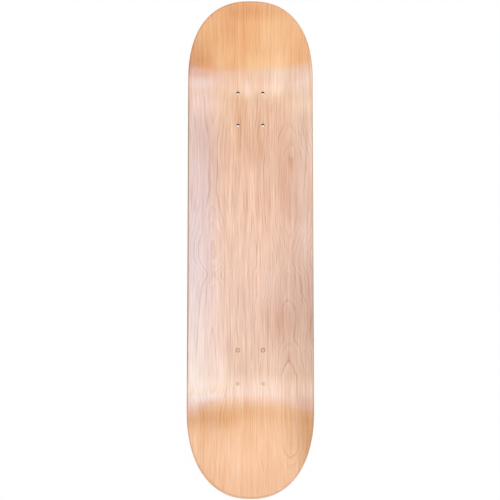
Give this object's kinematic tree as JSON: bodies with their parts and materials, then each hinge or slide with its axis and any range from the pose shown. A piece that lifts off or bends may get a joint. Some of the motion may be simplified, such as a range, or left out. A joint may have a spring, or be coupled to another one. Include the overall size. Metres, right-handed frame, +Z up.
{
  "type": "skateboard deck",
  "caption": "Bare double-kick skateboard deck: a pressed maple laminate with a dished middle, rounded rails and drilled truck bolt holes.",
  "frame": {"origin": "on the flat resting face, midway between the two truck bolt patterns and on the centre line", "axes": "+X across the deck, +Y along it towards the tail, -Y towards the nose, +Z up out of the dished top face"},
  "size_m": [0.2064, 0.8078, 0.0625],
  "materials": {
    "face_maple": "satin",
    "core_maple": "matte",
    "crossband_maple": "matte",
    "glue": "satin"
  },
  "bodies": {
    "root": {"top_face_ply": "face_maple", "glue_film_1": "glue", "upper_core_ply": "core_maple", "glue_film_2": "glue", "upper_crossband_ply": "crossband_maple", "glue_film_3": "glue", "middle_core_ply": "core_maple", "glue_film_4": "glue", "lower_crossband_ply": "crossband_maple", "glue_film_5": "glue", "lower_core_ply": "core_maple", "glue_film_6": "glue", "bottom_face_ply": "face_maple"}
  },
  "joints": []
}
